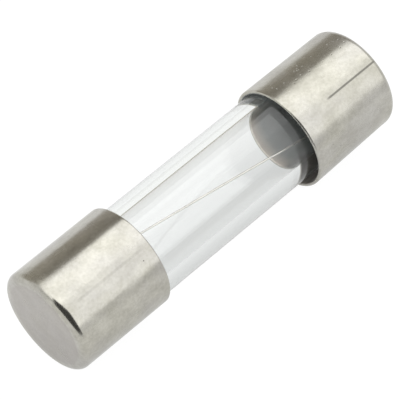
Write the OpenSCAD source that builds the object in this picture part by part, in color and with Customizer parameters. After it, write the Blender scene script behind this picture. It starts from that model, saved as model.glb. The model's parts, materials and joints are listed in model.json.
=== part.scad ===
// Miniature glass cartridge fuse, 5 x 20 mm: two drawn metal caps on a glass tube,
// with a fine wire strung corner to corner through the bore and soldered into each cap.
// The tube's axis is X and the origin is the middle of the fuse. Each end of the wire is
// folded over the rim of the glass and trapped under the skirt of its cap.

/* [Overall] */
// Length over both caps
fuse_len = 20; // [18:0.1:22]
// Outside diameter of the caps' barrels
cap_od = 5.24; // [5.2:0.01:5.4]

/* [Caps] */
// Depth of a cap, over its closed end
cap_len = 5.3; // [4:0.05:6]
// Thickness of the caps' skirts
cap_wall = 0.18; // [0.12:0.01:0.18]
// Thickness of the caps' closed ends
cap_floor = 0.25; // [0.2:0.01:0.4]
// Outside radius where a closed end turns into its skirt
cap_corner = 0.32; // [0.24:0.01:0.5]
// How far each cap sits off the tube's axis, over to the side of its tail of wire
cap_shift = 0.07; // [0.02:0.01:0.08]
// How far the left cap's mouth is sprung open, on the radius
left_flare = 0; // [0:0.01:0.1]
// How far the right cap's mouth is sprung open, on the radius
right_flare = 0.06; // [0:0.01:0.1]
// Length of skirt over which a sprung mouth opens
flare_len = 2.6; // [1:0.1:3]

/* [Glass] */
// Outside diameter of the glass tube
glass_od = 4.66; // [4.6:0.01:4.66]
// Bore of the glass tube
glass_bore = 3.35; // [3:0.05:3.6]
// Radius that softens the tube's cut edges
glass_edge = 0.15; // [0.1:0.01:0.25]

/* [Wire] */
// Diameter of the fuse wire
wire_d = 0.1; // [0.06:0.01:0.1]
// Length of wire folded back along the outside of the glass
tail_len = 1.4; // [0.8:0.1:2]
// Turn of the wire about the tube's axis, away from lying level
wire_turn = -5; // [-90:1:90]

/* [Solder] */
// Thickness of solder between the glass and the cap's closed end
solder_pad = 0.3; // [0.2:0.01:0.5]
// How far the solder creeps along the glass from its end
solder_reach = 0.9; // [0.8:0.05:1.5]
// Height of the solder's domed surface in the bore
dome_h = 0.35; // [0.2:0.05:0.5]
// Depth of solder in the bore, at the foot of its dome
plug_depth = 0.4; // [0.2:0.05:0.6]

/* [Hidden] */
$fn = 144;

LEFT = 0;
RIGHT = 180;
slip = 0.005;                                  // air between the wire and the glass it bends round
cap_r = cap_od / 2;
skirt_r = cap_r - cap_wall;                    // inside of a cap
glass_r = glass_od / 2;
bore_r = glass_bore / 2;
wire_r = wire_d / 2;
glass_len = fuse_len - 2 * (cap_floor + solder_pad);
dome_r = (bore_r * bore_r + dome_h * dome_h) / (2 * dome_h);

// The wire bends round the four softened corners of the glass that it touches.
bend_r = glass_edge + wire_r + slip;           // radius of the wire's centreline in a bend
rim_x = glass_len / 2 - glass_edge;            // centre of a corner, along the tube
outer_y = glass_r - glass_edge;                // centre of an outside corner, from the axis
inner_y = bore_r + glass_edge;                 // centre of an inside corner, from the axis
rim_reach = norm([rim_x, inner_y]);            // from the middle of the fuse to an inside corner
wire_slope = atan(inner_y / rim_x) - asin(bend_r / rim_reach);
wire_run = 2 * sqrt(rim_reach * rim_reach - bend_r * bend_r);  // straight wire from rim to rim

// Puts what is drawn for the left end at either end, turned with the wire about the axis.
module at_end(end) {
    rotate([wire_turn, 0, 0]) rotate([0, 0, end]) children();
}

// Turns what is drawn along Z from the origin to lie along X, from x and y.
module along_x(x = 0, y = 0) {
    translate([x, y, 0]) rotate([0, 90, 0]) children();
}

// A rectangle from low to high whose four corners are rounded by r.
module soft_rectangle(low, high, r) {
    size = high - low;
    translate(low + [r, 0]) square([size.x - 2 * r, size.y]);
    translate(low + [0, r]) square([size.x, size.y - 2 * r]);
    for (x = [low.x + r, high.x - r], y = [low.y + r, high.y - r])
        translate([x, y]) circle(r);
}

// Half the outline of a cup that is full of metal: radius r, one rounded corner at its foot.
module cup_outline(r, corner, height) {
    square([r - corner, height]);
    translate([0, corner]) square([r, height - corner]);
    translate([r - corner, corner]) circle(corner);
}

// Half the section of a skirt that springs open along an arc, from height foot to height tip.
module sprung_skirt(foot, tip, flare) {
    run = tip - foot;
    arc_r = (run * run + flare * flare) / (2 * flare);
    intersection() {
        translate([skirt_r, foot]) square([cap_wall + 2 * flare, run]);
        translate([cap_r + arc_r, foot]) difference() {
            circle(arc_r + cap_wall, $fn = 720);
            circle(arc_r, $fn = 720);
        }
    }
}

// A drawn cup along Z: its closed end at 0 and its rounded lip at cap_len.
module cup(flare) {
    lip_r = cap_wall / 2;
    straight = flare > 0 ? cap_len - flare_len : cap_len - lip_r;
    rotate_extrude() {
        difference() {
            cup_outline(cap_r, cap_corner, straight);
            translate([0, cap_floor]) cup_outline(skirt_r, cap_corner - cap_wall, cap_len);
        }
        if (flare > 0)
            sprung_skirt(straight, cap_len - lip_r, flare);
        translate([cap_r - lip_r + flare, cap_len - lip_r]) circle(lip_r);
    }
}

module end_cap(end, flare) {
    color("silver") at_end(end) along_x(-fuse_len / 2, cap_shift) cup(flare);
}

module glass_tube() {
    color("lightcyan", 0.4) along_x()
        rotate_extrude() soft_rectangle([bore_r, -glass_len / 2], [glass_r, glass_len / 2], glass_edge);
}

// A straight length of wire from the origin along X. What comes after it starts at its end.
module straight(length) {
    along_x() cylinder(h = length, r = wire_r);
    translate([length, 0, 0]) children();
}

// A bend in the wire from the origin, turning left if turn is positive and right if it isn't.
module bend(turn) {
    side = sign(turn);
    translate([0, side * bend_r, 0]) {
        rotate([0, 0, turn > 0 ? -90 : 90 + turn])
            rotate_extrude(angle = abs(turn)) translate([bend_r, 0]) circle(wire_r);
        rotate([0, 0, turn]) translate([0, -side * bend_r, 0]) children();
    }
}

// The wire from one tail to the other: over one rim, through the bore and over the other rim.
module level_wire() {
    slant = 90 - wire_slope;
    across_rim = outer_y - inner_y;
    translate([tail_len - rim_x, outer_y + bend_r, 0]) rotate([0, 0, 180])
        straight(tail_len) bend(90) straight(across_rim) bend(slant) straight(wire_run)
        bend(-slant) straight(across_rim) bend(-90) straight(tail_len);
}

module fuse_wire() {
    color("lightgray") rotate([wire_turn, 0, 0]) level_wire();
}

// What the left end's solder leaves free: the glass, and the bore beyond the solder's dome.
module solder_core() {
    glass_end = -glass_len / 2;
    dome_foot = glass_end + plug_depth;
    along_x() rotate_extrude() {
        soft_rectangle([bore_r, glass_end], [glass_r, -glass_end], glass_edge);
        difference() {
            translate([0, dome_foot]) square([bore_r + glass_edge, solder_reach]);
            translate([0, dome_foot + dome_h - dome_r]) circle(dome_r);
        }
    }
}

// Everything inside a cap as far as the solder creeps, with a dome standing up in the bore.
module solder(end) {
    fill_len = solder_pad + solder_reach;
    color("darkgray") at_end(end) difference() {
        along_x(-fuse_len / 2 + cap_floor, cap_shift)
            rotate_extrude() cup_outline(skirt_r, cap_corner - cap_wall, fill_len);
        solder_core();
        level_wire();
    }
}

glass_tube();
fuse_wire();
end_cap(LEFT, left_flare);  // left_end_cap
end_cap(RIGHT, right_flare);  // right_end_cap
solder(LEFT);  // left_solder
solder(RIGHT);  // right_solder
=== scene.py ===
# %% [markdown]
# # A 5 x 20 mm glass fuse
# This fuse is six pieces: a glass tube, a wire strung corner to corner through it, and at each end
# a drawn metal cap and the solder that fills it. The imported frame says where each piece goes.
# Blender's unit is the metre, so a millimetre gets a name of its own.

# %% Load the frame
import json
import math
from types import SimpleNamespace

import bmesh
import bpy
from mathutils import Matrix, Vector


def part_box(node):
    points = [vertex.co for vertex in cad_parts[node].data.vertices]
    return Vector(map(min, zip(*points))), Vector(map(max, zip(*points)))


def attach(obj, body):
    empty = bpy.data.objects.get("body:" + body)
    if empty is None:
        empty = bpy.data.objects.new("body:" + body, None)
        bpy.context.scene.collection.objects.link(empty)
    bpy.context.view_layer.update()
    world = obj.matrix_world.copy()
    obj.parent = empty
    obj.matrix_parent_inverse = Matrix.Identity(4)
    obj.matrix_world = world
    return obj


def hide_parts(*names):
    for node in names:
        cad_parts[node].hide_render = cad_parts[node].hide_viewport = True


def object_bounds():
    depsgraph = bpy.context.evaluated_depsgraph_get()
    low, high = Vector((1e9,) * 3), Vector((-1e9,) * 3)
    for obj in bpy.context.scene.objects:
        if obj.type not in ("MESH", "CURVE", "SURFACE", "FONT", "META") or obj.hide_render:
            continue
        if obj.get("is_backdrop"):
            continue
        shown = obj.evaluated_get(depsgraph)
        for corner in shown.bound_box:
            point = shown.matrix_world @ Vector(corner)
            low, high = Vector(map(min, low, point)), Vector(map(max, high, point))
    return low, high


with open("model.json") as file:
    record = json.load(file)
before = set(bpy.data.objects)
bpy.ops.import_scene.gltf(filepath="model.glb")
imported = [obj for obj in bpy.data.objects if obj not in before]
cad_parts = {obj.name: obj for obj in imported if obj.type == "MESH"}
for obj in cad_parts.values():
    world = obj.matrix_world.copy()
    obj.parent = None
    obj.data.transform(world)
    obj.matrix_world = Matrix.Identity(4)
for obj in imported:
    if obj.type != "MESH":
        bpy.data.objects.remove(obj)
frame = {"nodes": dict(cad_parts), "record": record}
cad_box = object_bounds()
scene = bpy.context.scene
mm = 0.001
mounts = {mount["name"]: mount for mount in frame["record"]["mounts"]}
print("nodes:", ", ".join(sorted(frame["nodes"])))
print("mounts:", ", ".join(mounts))

# %% [markdown]
# ## Camera
# A small thing looks natural through a long lens from a little way off, because a short lens close
# up swells its near end. The camera looks down at the fuse's closed left end. Its place is worked
# out from a heading, a height angle and a distance, which are easier to think in than x, y and z.
# The shift and the depth of field stay off: the aim alone frames the fuse.

# %% Camera
heading = math.radians(-45.23)
height_angle = math.radians(53.94)
distance = 123.4 * mm
level = math.cos(height_angle)
backwards = Vector((math.sin(heading) * level, -math.cos(heading) * level, math.sin(height_angle)))
rightwards = Vector((math.cos(heading), math.sin(heading), 0))
upwards = backwards.cross(rightwards)
aim_right, aim_up = -0.215 * mm, -0.183 * mm
aim = rightwards * aim_right + upwards * aim_up
focal_length = 243.7

lens = bpy.data.cameras.new("camera")
lens.lens = focal_length
lens.clip_start = 10 * mm
lens.clip_end = 10
camera = bpy.data.objects.new("camera", lens)
camera.location = aim + backwards * distance
camera.rotation_euler = backwards.to_track_quat("Z", "Y").to_euler()
scene.collection.objects.link(camera)
scene.camera = camera
print("camera at", [round(value / mm, 1) for value in camera.location], "mm")

# %% [markdown]
# ## Node trees written as sums
# Both the shapes and the finishes are node trees. A tree can be wired by hand in the editor or
# built by a script. A script reads best when a rule looks as it does on paper, so a Field wraps one
# output of a node, and adding or multiplying two fields adds the Math node for it.

# %% A value in a node tree
class Field:
    """One output in a node tree. Sums of fields add Math nodes."""

    def __init__(self, tree, socket):
        self.tree = tree
        self.socket = socket

    def math(self, operation, *others):
        values = dict(enumerate((self, *others)))
        return add(self.tree, "ShaderNodeMath", values, operation=operation)

    def __add__(self, other):
        return self.math("ADD", other)

    def __sub__(self, other):
        return self.math("SUBTRACT", other)

    def __mul__(self, other):
        return self.math("MULTIPLY", other)

    def __truediv__(self, other):
        return self.math("DIVIDE", other)

    __radd__ = __add__
    __rmul__ = __mul__


def plug(tree, value, socket):
    """Gives a socket its value: a plain one, or a wire from another node."""
    if isinstance(value, Field):
        tree.links.new(value.socket, socket)
    else:
        socket.default_value = value


def add(tree, kind, inputs=None, out=0, **options):
    """Adds a node. inputs gives its sockets by name or place, and out picks the output."""
    node = tree.nodes.new(kind)
    for option, value in options.items():
        setattr(node, option, value)
    for name, value in (inputs or {}).items():
        plug(tree, value, node.inputs[name])
    return Field(tree, node.outputs[out])

# %% [markdown]
# ## Small rules that come up again
# mixed slides between two numbers, and rising is a soft switch, which turns on as a value passes
# from start to end. One Map Range node does either. vector joins three numbers, and axes_of takes a
# place apart again.

# %% Small rules
def mixed(tree, factor, low, high):
    """Goes from low to high as factor goes from 0 to 1."""
    return add(tree, "ShaderNodeMapRange", {"Value": factor, "To Min": low, "To Max": high})


def rising(tree, value, start, end):
    """0 up to start, 1 past end, and a smooth step between."""
    ends = {"Value": value, "From Min": start, "From Max": end}
    return add(tree, "ShaderNodeMapRange", ends, interpolation_type="SMOOTHSTEP")


def vector(tree, x=0.0, y=0.0, z=0.0):
    """Three numbers joined into one place or turn."""
    return add(tree, "ShaderNodeCombineXYZ", {"X": x, "Y": y, "Z": z})


def axes_of(tree, place):
    """The x, y and z of a place, as three fields."""
    split = tree.nodes.new("ShaderNodeSeparateXYZ")
    plug(tree, place, split.inputs[0])
    return [Field(tree, socket) for socket in split.outputs]

# %% [markdown]
# ## Shapes that follow a rule
# Both caps are the same drawn cup, so one Geometry Nodes tree makes both, from sizes with names.
# The tube and the wire follow rules too. A bmesh script could place every vertex instead, but a
# tree can be opened afterwards, and a size in it dragged to see what it does.

# %% A tree with named sizes
def new_tree(name, lengths, **others):
    """A Geometry Nodes tree, and its sizes by name: the lengths, then sockets of other kinds."""
    kinds = {length: "Float" for length in lengths.split()}
    kinds.update(others)
    tree = bpy.data.node_groups.new(name, "GeometryNodeTree")
    tree.interface.new_socket("Geometry", in_out="OUTPUT", socket_type="NodeSocketGeometry")
    for label, kind in kinds.items():
        tree.interface.new_socket(label, in_out="INPUT", socket_type=f"NodeSocket{kind}")
    inputs = tree.nodes.new("NodeGroupInput")
    size = {label: Field(tree, inputs.outputs[label]) for label in kinds}
    return tree, SimpleNamespace(**size)

# %% [markdown]
# ## A line through corners
# A section or a wire's path is drawn as a draughtsman would: straight lines between corners, and a
# fillet at each. Fillet Curve rounds each corner by its own radius. Then long stretches are cut
# into steps, because a smooth surface shades cleanly only if its faces are even.

# %% A line through corners
arc_points = 10


def for_each_point(tree, kind, values):
    """Gives each point the value at its own place in the list."""
    node = tree.nodes.new("GeometryNodeIndexSwitch")
    node.data_type = kind
    while len(node.index_switch_items) < len(values):
        node.index_switch_items.new()
    plug(tree, add(tree, "GeometryNodeInputIndex"), node.inputs["Index"])
    for place, value in enumerate(values):
        plug(tree, value, node.inputs[place + 1])
    return Field(tree, node.outputs[0])


def filleted_line(tree, corners, step, closed=False):
    """A line through corners of (x, y, fillet), with a point at least every step along it."""
    places = for_each_point(tree, "VECTOR", [vector(tree, x, y) for x, y, _ in corners])
    fillets = for_each_point(tree, "FLOAT", [fillet for _, _, fillet in corners])
    line = add(tree, "GeometryNodeMeshLine", {"Count": len(corners)})
    line = add(tree, "GeometryNodeMeshToCurve", {"Mesh": line})
    line = add(tree, "GeometryNodeSetPosition", {"Geometry": line, "Position": places})
    line = add(tree, "GeometryNodeSetSplineCyclic", {"Geometry": line, "Cyclic": closed})
    rounding = {"Curve": line, "Count": arc_points, "Radius": fillets}
    line = add(tree, "GeometryNodeFilletCurve", rounding, mode="POLY")
    # Every stretch is cut by how many steps fit between its point and the next one.
    here = add(tree, "GeometryNodeInputPosition")
    ahead = add(tree, "GeometryNodeOffsetPointInCurve", {"Offset": 1}, out="Point Index")
    at_next = {"Value": here, "Index": ahead}
    there = add(tree, "GeometryNodeFieldAtIndex", at_next, data_type="FLOAT_VECTOR")
    gap = add(tree, "ShaderNodeVectorMath", {0: here, 1: there}, "Value", operation="DISTANCE")
    return add(tree, "GeometryNodeSubdivideCurve", {"Curve": line, "Cuts": gap / step})

# %% [markdown]
# ## Turning a section
# A Screw modifier turns a section into a solid, but it can't be fed from a tree's own sizes. Here a
# flat grid has one column of points for each step round the axis, and each point is sent to its
# place on the section, swung round by its column's angle. The first and last columns then land on
# each other and are merged, as are the points on the axis, so the solid has no seam.

# %% Turn a section about the X axis
merge_reach = 0.0002 * mm


def turned(tree, section, sides, closed=False):
    """Spins a section about the X axis into a closed solid."""
    # The grid has a column for each side and one more, which lands on the first.
    points = {"Geometry": section}
    rows = add(tree, "GeometryNodeAttributeDomainSize", points, "Point Count", component="CURVE")
    whole = "FunctionNodeIntegerMath"
    column = add(tree, whole, {0: rows, 1: int(closed)}, operation="ADD")
    columns = add(tree, whole, {0: sides, 1: 1}, operation="ADD")
    grid = add(tree, "GeometryNodeMeshGrid", {"Vertices X": columns, "Vertices Y": column})
    # A point's index says how many sides round it is, and where on the section.
    index = add(tree, "GeometryNodeInputIndex")
    turn = add(tree, whole, {0: index, 1: column}, operation="DIVIDE_FLOOR")
    row = add(tree, whole, {0: index, 1: column}, operation="FLOORED_MODULO")
    row = add(tree, whole, {0: row, 1: rows}, operation="FLOORED_MODULO")
    here = add(tree, "GeometryNodeInputPosition")
    wanted = {"Geometry": section, "Value": here, "Index": row}
    place = add(tree, "GeometryNodeSampleIndex", wanted, data_type="FLOAT_VECTOR", domain="POINT")
    # What the section calls y is the distance from the axis, and the angle swings it round.
    along, radius, _ = axes_of(tree, place)
    angle = turn / sides * math.tau
    swung = vector(tree, along, radius * angle.math("COSINE"), radius * angle.math("SINE"))
    solid = add(tree, "GeometryNodeSetPosition", {"Geometry": grid, "Position": swung})
    return add(tree, "GeometryNodeMergeByDistance", {"Geometry": solid, "Distance": merge_reach})

# %% [markdown]
# ## Ending a tree
# Every tree ends the same way. The shape is turned about Z to its own end of the fuse, and then
# rolled about X to where the wire lies. It is shaded smooth, made real and given its finish.

# %% End a tree
def shifted(tree, geometry, x=0.0, y=0.0, z=0.0):
    """Moves every point by x, y and z."""
    offset = vector(tree, x, y, z)
    return add(tree, "GeometryNodeSetPosition", {"Geometry": geometry, "Offset": offset})


def finished(tree, geometry, finish, end=0.0, roll=0.0):
    """Turns the piece to its place, gives it its finish and ends the tree."""
    for rotation in (vector(tree, z=end), vector(tree, x=roll)):
        placed = {"Geometry": geometry, "Rotation": rotation}
        geometry = add(tree, "GeometryNodeTransform", placed)
    geometry = add(tree, "GeometryNodeSetShadeSmooth", {"Geometry": geometry})
    geometry = add(tree, "GeometryNodeRealizeInstances", {"Geometry": geometry})
    geometry = add(tree, "GeometryNodeSetMaterial", {"Geometry": geometry, "Material": finish})
    plug(tree, geometry, tree.nodes.new("NodeGroupOutput").inputs[0])

# %% [markdown]
# ## From tree to piece
# A tree becomes a piece in three moves: a modifier runs it with this piece's sizes, the result is
# kept as a plain mesh, and the modifier goes. A closed mesh whose faces point outwards has a
# positive volume, which is a quick and exact test that nothing is inside out. The CAD node that the
# piece stands in for is then hidden, and the piece rides on the root body.

# %% Make a piece
def turn_outwards(mesh):
    """Makes the faces point outwards. Returns the mesh's volume and its count of open edges."""
    shape = bmesh.new()
    shape.from_mesh(mesh)
    volume = shape.calc_volume(signed=True)
    open_edges = sum(not edge.is_manifold for edge in shape.edges)
    if volume < 0:
        bmesh.ops.reverse_faces(shape, faces=shape.faces)
        shape.to_mesh(mesh)
    shape.free()
    return abs(volume), open_edges


def make_piece(name, tree, node, slot, **sizes):
    """Runs a tree with these sizes, and puts the mesh in the frame in place of a CAD node."""
    piece = bpy.data.objects.new(name, bpy.data.meshes.new(name))
    scene.collection.objects.link(piece)
    modifier = piece.modifiers.new("rule", "NODES")
    modifier.node_group = tree
    for socket in tree.interface.items_tree:
        if socket.in_out == "INPUT":
            modifier[socket.identifier] = sizes[socket.name]
    depsgraph = bpy.context.evaluated_depsgraph_get()
    mesh = bpy.data.meshes.new_from_object(piece.evaluated_get(depsgraph))
    piece.modifiers.clear()
    piece.data = mesh
    volume, open_edges = turn_outwards(mesh)
    faces = len(mesh.polygons)
    print(f"{name}: {faces} faces, {volume / mm ** 3:.2f} mm3, {open_edges} open edges")
    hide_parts(node)
    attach(piece, "root")
    return piece

# %% [markdown]
# ## Finishes
# A finish is a Principled shader fed by patterns. The patterns read Object coordinates, so they
# stay put on the piece and pass over its edges without a seam. Metres are coarse for a thing this
# small, so a pattern's grain is given in patches to the millimetre, and stretch draws the patches
# out along an axis. A relief turns a pattern into bumps of a real height.

# %% Helpers for finishes
def new_finish(name, **fixed):
    """A Principled finish. fixed gives the sockets that are the same all over."""
    finish = bpy.data.materials.new(name)
    finish.use_nodes = True
    shader = finish.node_tree.nodes["Principled BSDF"]
    for socket, value in fixed.items():
        shader.inputs[socket.replace("_", " ")].default_value = value
    return finish, finish.node_tree, shader


def object_place(tree):
    """Where a point is on the piece, in metres."""
    return add(tree, "ShaderNodeTexCoord", out="Object")


def grain(tree, per_mm, stretch=(1, 1, 1), detail=3.0, kind="ShaderNodeTexNoise"):
    """A cloudy pattern from 0 to 1, with so many patches to a millimetre."""
    scale = [per_mm / mm / draw for draw in stretch]
    place = add(tree, "ShaderNodeMapping", {"Vector": object_place(tree), "Scale": scale})
    return add(tree, kind, {"Vector": place, "Scale": 1.0, "Detail": detail})


def blend(tree, factor, low, high):
    """One colour where factor is 0, and the other where it is 1."""
    # A Mix node has sockets for every kind of value, and these three are the colours.
    colour_a, colour_b, colour_out = 6, 7, 2
    sockets = {"Factor": factor, colour_a: low, colour_b: high}
    return add(tree, "ShaderNodeMix", sockets, colour_out, data_type="RGBA")


def relief(tree, height, depth, under=None):
    """Turns a pattern into bumps on top of others. depth is how far they rise, in metres."""
    inputs = {"Height": height, "Distance": depth}
    if under:
        inputs["Normal"] = under
    return add(tree, "ShaderNodeBump", inputs)

# %% [markdown]
# ## Nickel plate: where a mark is
# The caps are brass under thin nickel. Their marks belong to places on the barrel: a scratch runs
# with the axis, and knocks come in groups. So the finish works out for every point how far along
# the fuse it is, how far from either end's cap, and its angle round that cap. The caps sit a little
# off the tube's axis, one to each side, and the frame's mounts say by how much.

# %% Places on a cap
cap_r = mounts["left_cap_barrel"]["dims"]["r_mm"] * mm
cap_offset = Vector(mounts["left_cap_barrel"]["pos_m"][1:])
fuse_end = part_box("right_end_cap")[1].x


def cap_place(tree):
    """How far along the fuse, and the angle round the nearer cap's own axis from +Y."""
    x, y, z = axes_of(tree, object_place(tree))
    side = x.math("SIGN")
    y = y + side * cap_offset.x
    z = z + side * cap_offset.y
    return x, z.math("ARCTAN2", y)


def scratch_at(tree, along, around, start, end, clock, width):
    """1 along a straight scratch that runs with the axis, and 0 away from it."""
    fade = 0.3 * mm
    aside = ((around - math.radians(clock)) * cap_r).math("ABSOLUTE")
    line = rising(tree, aside, width, width / 3)
    line = line * rising(tree, along, start, start + fade)
    return line * rising(tree, along, end, end - fade)


def patch_at(tree, along, around, place, clock, reach):
    """1 at a place on the barrel, falling to 0 at reach from it."""
    aside = (around - math.radians(clock)) * cap_r
    ahead = along - place
    return rising(tree, (aside * aside + ahead * ahead).math("SQRT"), reach, reach / 3)


print(f"caps {cap_r / mm:.2f} mm in radius, {cap_offset.length / mm:.3f} mm off the tube's axis")

# %% [markdown]
# ## Nickel plate: colour
# Plain nickel is a warm grey. Drawing and plating leave it cloudy: patches a millimetre or two
# across, and specks inside them. Three noises of different sizes make that, because one noise alone
# looks like clouds in a sky. The right cap is a shade darker than the left, and the flat middle of
# each closed end is painted darker and pinker than the barrels, as painted shade.

# %% Nickel's colour
nickel, tree, shader = new_finish("nickel plate", Metallic=1.0)
along, around = cap_place(tree)
depth_in = along.math("ABSOLUTE")
# 1 on the right cap, whose colour is a shade darker and whose roughness is a little higher.
on_right_cap = rising(tree, along, 0.0, mm)
face = rising(tree, depth_in, fuse_end - 0.018 * mm, fuse_end - 0.008 * mm)
stain = rising(tree, grain(tree, 0.55, (1.6, 1, 1)), 0.35, 0.65)
mottle = rising(tree, grain(tree, 1.6, (1.5, 1, 1), 6.0), 0.3, 0.7)
fleck = rising(tree, grain(tree, 7.0, detail=4.0), 0.3, 0.7)
bright = blend(tree, stain, (0.505, 0.492, 0.435, 1), (0.495, 0.485, 0.45, 1))
dull = blend(tree, stain, (0.375, 0.365, 0.315, 1), (0.39, 0.378, 0.345, 1))
colour = blend(tree, mottle * 0.6 + fleck * 0.4 - on_right_cap * 0.1, dull, bright)
# The flat middle of each closed end is painted darker and pinker than the barrels: painted shade.
painted_end_shade = (0.375, 0.352, 0.33, 1)
colour = blend(tree, face * 0.6, colour, painted_end_shade)
print("nickel:", len(tree.nodes), "nodes for its colour")

# %% [markdown]
# ## Nickel plate: marks
# One long scratch crosses the right cap and a faint one the left. Small pits gather in a few
# knocked places. A Voronoi texture gives the pits, because its value is the distance to the nearest
# of many scattered dots, and a narrow step turns each dot into a small disc.

# %% Nickel's marks
scratch = scratch_at(
    tree, along, around, start=6.5 * mm, end=9.95 * mm, clock=118.3, width=0.07 * mm)
faint = scratch_at(
    tree, along, around, start=-9.2 * mm, end=-5.0 * mm, clock=119.7, width=0.09 * mm)
pits = rising(tree, grain(tree, 4.0, detail=0.0, kind="ShaderNodeTexVoronoi"), 0.2, 0.08)
knocked = scratch_at(
    tree, along, around, start=5 * mm, end=9.7 * mm, clock=74, width=0.7 * mm) + 0.06
for place, clock in ((5.95 * mm, 160), (-5.3 * mm, 133)):
    knocked = knocked + patch_at(tree, along, around, place, clock, reach=0.6 * mm)
pits = pits * knocked.math("MINIMUM", 1.0)
marks = (scratch + faint * 0.2 + pits * 0.6).math("MINIMUM", 1.0)
bared = (0.1, 0.095, 0.085, 1)
colour = blend(tree, marks * 0.75, colour, bared)
print("nickel:", len(tree.nodes), "nodes with its marks")

# %% [markdown]
# ## Nickel plate: inside the cups
# The nickel is thin inside a cup. Brass shows where the glass has rubbed one side of the mouth.
# Painted shade darkens one side of the mouth's wall and, further in, all of it, which is also matt.
# Which points are inside can't be told from their place, because the wall is thinner than the play
# in the mouth. So the cap's tree, below, marks them with an attribute named lining, and the finish
# reads it. The cosine of an angle round the axis, stepped, picks out one side.

# %% Nickel inside the cups
inside = add(tree, "ShaderNodeAttribute", out="Fac", attribute_name="lining")
thin_nickel = (0.48, 0.495, 0.49, 1)
bare_brass = (0.86, 0.78, 0.71, 1)
painted_mouth_shade = (0.19, 0.175, 0.16, 1)
painted_deep_shade = (0.3, 0.31, 0.305, 1)
rubbed_side, mouth_shade_side = math.radians(-63), math.radians(200)
rubbed = rising(tree, (around - rubbed_side).math("COSINE"), 0.2, 0.8)
rubbed = rubbed * rising(tree, depth_in, 5.5 * mm, 4.75 * mm)
# One side of the mouth's wall is painted dark: painted shade in the gap between the lip and the
# glass.
mouth_shade = rising(tree, (around - mouth_shade_side).math("COSINE"), 0.4, 0.9)
mouth_shade = mouth_shade * rising(tree, depth_in, 6.5 * mm, 5.5 * mm)
# Further into the cup all of the wall is painted dark: painted shade in the recess.
deep_shade = rising(tree, depth_in, 5.5 * mm, 6.8 * mm)
lining = blend(tree, rubbed, thin_nickel, bare_brass)
lining = blend(tree, mouth_shade, lining, painted_mouth_shade)
lining = blend(tree, deep_shade, lining, painted_deep_shade)
plug(tree, blend(tree, inside, colour, lining), shader.inputs["Base Color"])
print("nickel:", len(tree.nodes), "nodes with its lining")

# %% [markdown]
# ## Nickel plate: gloss and bumps
# Metal shows its shape by what it mirrors, so its gloss matters more than its colour. The roughness
# drifts between two values, and is higher inside the cups and in the marks. Two layers of bumps,
# one broad and one fine, make the mirrored edges waver as on real drawn metal, and the pits are
# pressed in over them.

# %% Nickel's gloss
scuff = rising(tree, grain(tree, 1.1, (3, 1, 1), 6.0), 0.4, 0.75)
gloss = mixed(tree, scuff, 0.18, 0.3) + inside * 0.35 + on_right_cap * 0.05 + marks * 0.2
plug(tree, gloss, shader.inputs["Roughness"])
bumps = relief(tree, grain(tree, 0.8, (1.3, 1, 1), 2.0), 0.012 * mm)
bumps = relief(tree, grain(tree, 3.5, (1.5, 1, 1), 3.0), 0.0015 * mm, bumps)
bumps = relief(tree, pits * -1, 0.012 * mm, bumps)
plug(tree, bumps, shader.inputs["Normal"])
print("nickel:", len(tree.nodes), "nodes in all")

# %% [markdown]
# ## Drawn glass
# The tube is clear soda-lime glass. Clear glass is seen by its edges: light that enters near the
# rim of the bore is turned back and shows a darker line there. That comes from real walls, a true
# index of refraction and no roughness, and needs no paint. Glass also soaks up a little light,
# which shows where the eye looks along the wall. A Volume Absorption node does that: its density is
# a number for each metre of glass. Drawing leaves faint waves along the tube, and a wash that is
# barely off white.

# %% Glass
glass, tree, shader = new_finish("drawn glass", Roughness=0.0, IOR=1.52, Transmission_Weight=1.0)
wash = rising(tree, grain(tree, 0.25, (6, 1, 1)), 0.3, 0.7)
clear = blend(tree, wash, (0.985, 0.985, 0.985, 1), (0.97, 0.975, 0.975, 1))
plug(tree, clear, shader.inputs["Base Color"])
waves = relief(tree, grain(tree, 0.3, (10, 1, 1), 0.0), 0.001 * mm)
plug(tree, waves, shader.inputs["Normal"])
absorbed = {"Color": (0.69, 0.76, 0.71, 1), "Density": 160.0}
soak = add(tree, "ShaderNodeVolumeAbsorption", absorbed)
plug(tree, soak, tree.nodes["Material Output"].inputs["Volume"])
print("glass:", len(tree.nodes), "nodes")

# %% [markdown]
# ## Silvered wire
# Fuse wire is silvered copper, a tenth of a millimetre thick, so only its tone and its glints are
# seen. The patches are drawn out along the wire, as its die leaves them.

# %% Wire's finish
silver, tree, shader = new_finish("silvered wire", Metallic=1.0)
tone = grain(tree, 3.0, (4, 1, 1))
tone = blend(tree, tone, (0.7, 0.68, 0.63, 1), (0.43, 0.42, 0.39, 1))
plug(tree, tone, shader.inputs["Base Color"])
plug(tree, mixed(tree, grain(tree, 8.0), 0.22, 0.36), shader.inputs["Roughness"])
print("silver:", len(tree.nodes), "nodes")

# %% [markdown]
# ## Solder
# Solder sets with a frosted skin. The same noise drives its colour and its roughness, so that the
# whiter patches are also the duller ones, as frost is, and another noise dimples it.

# %% Solder's finish
tin, tree, shader = new_finish("tin solder", Metallic=1.0)
frost = grain(tree, 2.5, detail=4.0)
tone = blend(tree, frost, (0.66, 0.69, 0.7, 1), (0.8, 0.81, 0.81, 1))
plug(tree, tone, shader.inputs["Base Color"])
plug(tree, mixed(tree, frost, 0.35, 0.55), shader.inputs["Roughness"])
plug(tree, relief(tree, grain(tree, 3.0), 0.008 * mm), shader.inputs["Normal"])
print("tin:", len(tree.nodes), "nodes")

# %% [markdown]
# ## Caps: the cup's section
# A cap is a cup drawn from sheet: one thickness throughout, a rounded foot and a rolled lip. Half
# its section goes round the metal, from the middle of the closed end, up the outside, over the lip,
# down the inside and back to the axis. The closed end falls away a little towards its edge, because
# a drawn end is never quite flat. The tree marks the inside wall for the finish.

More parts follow.
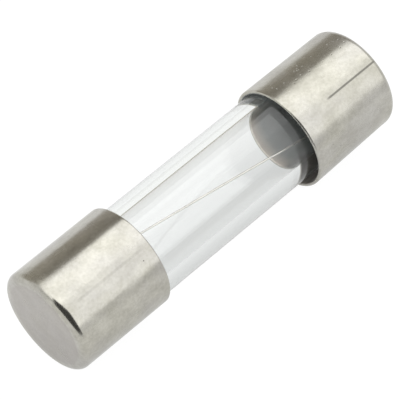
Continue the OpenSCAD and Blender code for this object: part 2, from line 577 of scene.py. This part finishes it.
# %% Section of a cap
cap_tree, cap = new_tree(
    "drawn cap",
    "radius depth wall floor corner ease off_axis splay splay_depth end roll outer_end",
    sides="Int", finish="Material")
flat_share = 0.76
flat_fillet = 3 * mm
cap_step = 0.12 * mm
section = filleted_line(cap_tree, [
    (0.0, 0.0, 0.0),
    (0.0, cap.radius * flat_share, flat_fillet),
    (cap.ease, cap.radius, cap.corner),
    (cap.depth, cap.radius, cap.wall / 2),
    (cap.depth, cap.radius - cap.wall, cap.wall / 2),
    (cap.floor, cap.radius - cap.wall, cap.corner - cap.wall),
    (cap.floor, 0.0, 0.0),
], cap_step)
cup = turned(cap_tree, section, cap.sides)
x, y, z = axes_of(cap_tree, add(cap_tree, "GeometryNodeInputPosition"))
from_axis = (y * y + z * z).math("SQRT")
skin = rising(cap_tree, from_axis, cap.radius - cap.wall * 0.6, cap.radius - cap.wall * 0.95)
skin = skin * x.math("GREATER_THAN", cap.floor / 2)
marked = {"Geometry": cup, "Name": "lining", "Value": skin}
cup = add(cap_tree, "GeometryNodeStoreNamedAttribute", marked)
print("drawn cap:", len(cap_tree.nodes), "nodes for the cup")

# %% [markdown]
# ## Caps: the sprung mouth
# The wire's tail is trapped between the glass and the skirt, and at the right end it has sprung the
# skirt open on that one side. So the wall is pushed outwards by more the nearer it is to the mouth,
# and by nothing on the far side. Doing it to the finished cup keeps the wall's thickness.

# %% Spring the mouth, place the cup
clock = z.math("ARCTAN2", y)
opening = (x - (cap.depth - cap.splay_depth)) / cap.splay_depth
lean = opening.math("MAXIMUM", 0.0) * cap.splay * (clock.math("COSINE") + 1) / 2
lean = lean * from_axis.math("GREATER_THAN", cap.radius / 2)
cup = shifted(cap_tree, cup, 0.0, lean * clock.math("COSINE"), lean * clock.math("SINE"))
cup = shifted(cap_tree, cup, cap.outer_end * -1, cap.off_axis)
finished(cap_tree, cup, cap.finish, cap.end, cap.roll)
print("drawn cap:", len(cap_tree.nodes), "nodes with the sprung mouth")

# %% [markdown]
# ## Caps: two from one tree
# The caps differ only in which end they close, how deep the frame's box says they are, and the
# right one's sprung mouth.

# %% Both caps
wire_roll = math.atan2(cap_offset.y, cap_offset.x)
sides_round = 256
for side, end, splay in (("left", 0.0, 0.0), ("right", math.pi, 0.13 * mm)):
    low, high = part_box(f"{side}_end_cap")
    make_piece(
        f"{side}_cap", cap_tree, f"{side}_end_cap", "cap_plating",
        radius=cap_r, depth=high.x - low.x, wall=0.18 * mm, floor=0.25 * mm,
        corner=0.36 * mm, ease=0.05 * mm, off_axis=cap_offset.length,
        splay=splay, splay_depth=4.6 * mm, end=end, roll=wire_roll,
        outer_end=fuse_end, sides=sides_round, finish=nickel)

# %% [markdown]
# ## Tube
# The tube is a plain pipe with its cut edges melted soft. It needs its inner wall as much as its
# outer one, since the bore is what bends the light. Its section is a rounded rectangle beside the
# axis. Glass casts a light shadow that a fast render makes too dark, so it casts none.

# %% Glass tube
tube_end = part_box("glass_tube")[1]
tube_half, tube_r = tube_end.x, tube_end.z
bore_r = 3.35 / 2 * mm
glass_edge = 0.15 * mm
tube_step = 0.4 * mm

tube_tree, pipe = new_tree("tube", "outer bore half edge", sides="Int", finish="Material")
section = filleted_line(tube_tree, [
    (pipe.half * -1, pipe.bore, pipe.edge),
    (pipe.half * -1, pipe.outer, pipe.edge),
    (pipe.half, pipe.outer, pipe.edge),
    (pipe.half, pipe.bore, pipe.edge),
], tube_step, closed=True)
solid = turned(tube_tree, section, pipe.sides, closed=True)
finished(tube_tree, solid, pipe.finish)
tube = make_piece(
    "tube", tube_tree, "glass_tube", "tube_glass",
    outer=tube_r, bore=bore_r, half=tube_half, edge=glass_edge, sides=sides_round,
    finish=glass)
tube.visible_shadow = False

# %% [markdown]
# ## Wire: its path
# The wire runs corner to corner through the bore, bends round the softened rim at each end and
# folds back along the outside of the glass, where the cap traps it. It bends as closely as the
# glass lets it. So the fillet of each bend is the glass's edge, half the wire and a hair of air,
# and the slope of the straight run is that of a line touching two circles, one at each rim.

# %% Path of the wire
wire_tree, wire = new_tree(
    "wire", "thickness tail rim outer_y bend slope roll", finish="Material")
hook_x = (wire.rim + wire.bend) * -1
hook_y = (wire.rim + wire.bend) * wire.slope.math("TANGENT")
tail_x = wire.tail - wire.rim
tail_y = wire.outer_y + wire.bend
half_path = [(tail_x, tail_y, 0.0), (hook_x, tail_y, wire.bend), (hook_x, hook_y, wire.bend)]
other_half = [(x * -1, y * -1, fillet) for x, y, fillet in reversed(half_path)]
wire_step = 0.2 * mm
path = filleted_line(wire_tree, half_path + other_half, wire_step)
print("wire:", len(wire_tree.nodes), "nodes for its path")

# %% [markdown]
# ## Wire: sweeping it
# Curve to Mesh carries a ring along the path. The bevel of a curve object would do the same, but
# the node caps both ends and leaves a closed solid.

# %% Sweep the wire
ring = {"Resolution": 24, "Radius": wire.thickness / 2}
ring = add(wire_tree, "GeometryNodeCurvePrimitiveCircle", ring)
sweep = {"Curve": path, "Profile Curve": ring, "Fill Caps": True}
solid = add(wire_tree, "GeometryNodeCurveToMesh", sweep)
finished(wire_tree, solid, wire.finish, roll=wire.roll)

wire_d = 0.1 * mm
air = 0.005 * mm
bend_r = glass_edge + wire_d / 2 + air
rim_x = tube_half - glass_edge
rim_y = bore_r + glass_edge
slope = math.atan2(rim_y, rim_x) - math.asin(bend_r / math.hypot(rim_x, rim_y))
make_piece(
    "wire", wire_tree, "fuse_wire", "fuse_wire",
    thickness=wire_d, tail=1.4 * mm, rim=rim_x, outer_y=tube_r - glass_edge,
    bend=bend_r, slope=slope, roll=wire_roll, finish=silver)
print(f"the wire slopes {math.degrees(slope):.1f} degrees across the bore")

# %% [markdown]
# ## Solder: kept as it is
# The solder fills each cap round the glass and domes up in the bore. It is seen only through the
# glass, and the CAD model already gives it the exact gap between its neighbours, so those two
# solids stay and only take their finish.

# %% Solder
for name in ("left_solder", "right_solder"):
    solder = frame["nodes"][name]
    solder.data.materials.clear()
    solder.data.materials.append(tin)
    print(f"{name}: {len(solder.data.polygons)} faces, finished in {tin.name}")

# %% [markdown]
# ## Studio: cards
# A card is a flat sheet that glows by itself. Some are only there to be mirrored in the metal and
# seen through the glass, as the cards in a studio are, so they stay hidden from the camera and
# throw no light. Each card is marked as backdrop, so the measured box leaves it out.

# %% Make a card
square = ((-1, -1), (1, -1), (1, 1), (-1, 1))


def card(name, corners, glow, colour=(1, 1, 1)):
    """A flat four-cornered sheet that glows."""
    mesh = bpy.data.meshes.new(name)
    mesh.from_pydata(corners, [], [(0, 1, 2, 3)])
    sheet = bpy.data.objects.new(name, mesh)
    scene.collection.objects.link(sheet)
    finish, tree, shader = new_finish(
        name, Base_Color=(0, 0, 0, 1), Roughness=1.0, Specular_IOR_Level=0.0,
        Emission_Color=(*colour, 1), Emission_Strength=glow)
    mesh.materials.append(finish)
    sheet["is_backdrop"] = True
    return sheet, tree, shader


def only_mirrored(sheet, through_glass=True):
    """Hides a card from everything but mirrors and, if asked, glass."""
    sheet.visible_camera = False
    sheet.visible_diffuse = False
    sheet.visible_shadow = False
    sheet.visible_transmission = through_glass

# %% [markdown]
# ## Studio: floor
# The floor is a pale sheet under the fuse. A white floor in plain light comes out grey, so it glows
# nearly white by itself and takes only the rest from the lamps. That small rest still carries the
# soft shadow that seats the fuse on it.

# %% Floor
floor_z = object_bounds()[0][2]
half_floor = 2
corners = [(x * half_floor, y * half_floor, floor_z) for x, y in square]
_, _, shader = card("floor", corners, glow=0.94)
shader.inputs["Base Color"].default_value = (0.08, 0.08, 0.08, 1)
print(f"floor at {floor_z / mm:.2f} mm")

# %% [markdown]
# ## Studio: soft lights
# Two broad panels hang over the fuse, side by side. A long cylinder mirrors a panel as a bright
# band along its length, and the panel's two edges as the band's edges. So each panel is placed by
# where its edges are, across the fuse, and the gaps between the bands follow.

# %% Lights
def panel(name, back, front, width, glow):
    """A flat light over the fuse. Its edges are (y, z), and its glow is in watts a square metre."""
    back, front = Vector((0, *back)), Vector((0, *front))
    span = back - front
    light = bpy.data.lights.new(name, "AREA")
    light.shape = "RECTANGLE"
    light.size = width
    light.size_y = span.length
    light.energy = glow * width * span.length
    lamp = bpy.data.objects.new(name, light)
    across = Vector((1, 0, 0))
    up = span.normalized()
    lamp.matrix_world = Matrix((across, up, across.cross(up))).transposed().to_4x4()
    lamp.location = (back + front) / 2
    lamp.visible_camera = False
    scene.collection.objects.link(lamp)
    print(f"{name}: {width:.2f} x {span.length:.2f} m, {light.energy:.2f} W")


panel("overhead light", back=(0.245, 0.3), front=(-0.08, 0.3), width=1.2, glow=3.5)
panel("front light", back=(-0.08, 0.32), front=(-0.425, 0.125), width=1.2, glow=2.36)

# %% [markdown]
# ## Studio: the dark band
# Shiny barrels look solid only if something dark runs along them. Behind the fuse stands a warm
# grey card, and it gives each barrel its dark band, brighter near the floor, where it fades into
# it. A dark sheet stands where the camera and its stand would be, and darkens the near corner.

# %% Cards behind and in front
left, right, low, high = -0.3, 1.0, -0.02, 0.53
back_y = 0.45
corners = [(x, back_y, z) for x, z in ((left, low), (right, low), (right, high), (left, high))]
back, tree, shader = card("back", corners, glow=0.36, colour=(1, 0.935, 0.825))
only_mirrored(back)
height = axes_of(tree, object_place(tree))[2]
glow = mixed(tree, rising(tree, height, 0.05, 0.36), 0.5, 0.34)
plug(tree, glow, shader.inputs["Emission Strength"])

stand_at = backwards * 0.2
left_edge, right_edge = rightwards * -0.15, rightwards * 0.1
foot, head = Vector((0, 0, -0.16)), Vector((0, 0, 0.05))
corners = [stand_at + left_edge + foot, stand_at + right_edge + foot,
           stand_at + right_edge + head, stand_at + left_edge + head]
stand, _, _ = card("camera stand", corners, glow=0.07)
only_mirrored(stand, through_glass=False)
print(f"back card {right - left:.2f} x {high - low:.2f} m, {back_y:.2f} m behind the fuse")

# %% [markdown]
# ## Studio: the shade under the fuse
# Clear glass on a white floor vanishes, because the floor seen through it is as white as the floor
# beside it. Under a real fuse the floor is a little darker, and that is what draws the glass. This
# card lies on the floor, glows like it, and dims in a soft ridge under the fuse. Only the metal and
# the glass see it, so the floor round the fuse stays clean.

# %% Shade
shade_z = floor_z + 0.05 * mm
half_x, half_y = 16 * mm, 12 * mm
ridge_y, ridge_width, darkest = -0.8 * mm, 2.4 * mm, 0.26
corners = [(x * half_x, y * half_y, shade_z) for x, y in square]
shade, tree, shader = card("contact shade", corners, glow=1.0)
only_mirrored(shade)
along, across, _ = axes_of(tree, object_place(tree))
from_ridge = (across - ridge_y) / ridge_width
ridge = (from_ridge.math("POWER", 2.0) * -0.5).math("EXPONENT")
under_fuse = rising(tree, along.math("ABSOLUTE"), 13 * mm, 8.5 * mm)
plug(tree, ridge * under_fuse * -darkest + 1.0, shader.inputs["Emission Strength"])
print("shade:", len(tree.nodes), "nodes")

# %% [markdown]
# ## Studio: the room
# The room beyond the cards is plain white. The Standard view transform shows colours as they are,
# where the default one would grey the white floor.

# %% Room
room = bpy.data.worlds.new("room")
scene.world = room
room.use_nodes = True
background = room.node_tree.nodes["Background"]
background.inputs["Color"].default_value = (1, 1, 1, 1)
background.inputs["Strength"].default_value = 0.9
scene.view_settings.view_transform = "Standard"
print("view transform:", scene.view_settings.view_transform)

# %% [markdown]
# ## Measure
# The visual model is meant to fill the same box as the CAD model, so both boxes are printed,
# one under the other.

# %% Measure and finish
visual_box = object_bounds()
for name, box in (("cad", cad_box), ("visual", visual_box)):
    print(name, [[round(value / mm, 3) for value in corner] for corner in box], "mm")
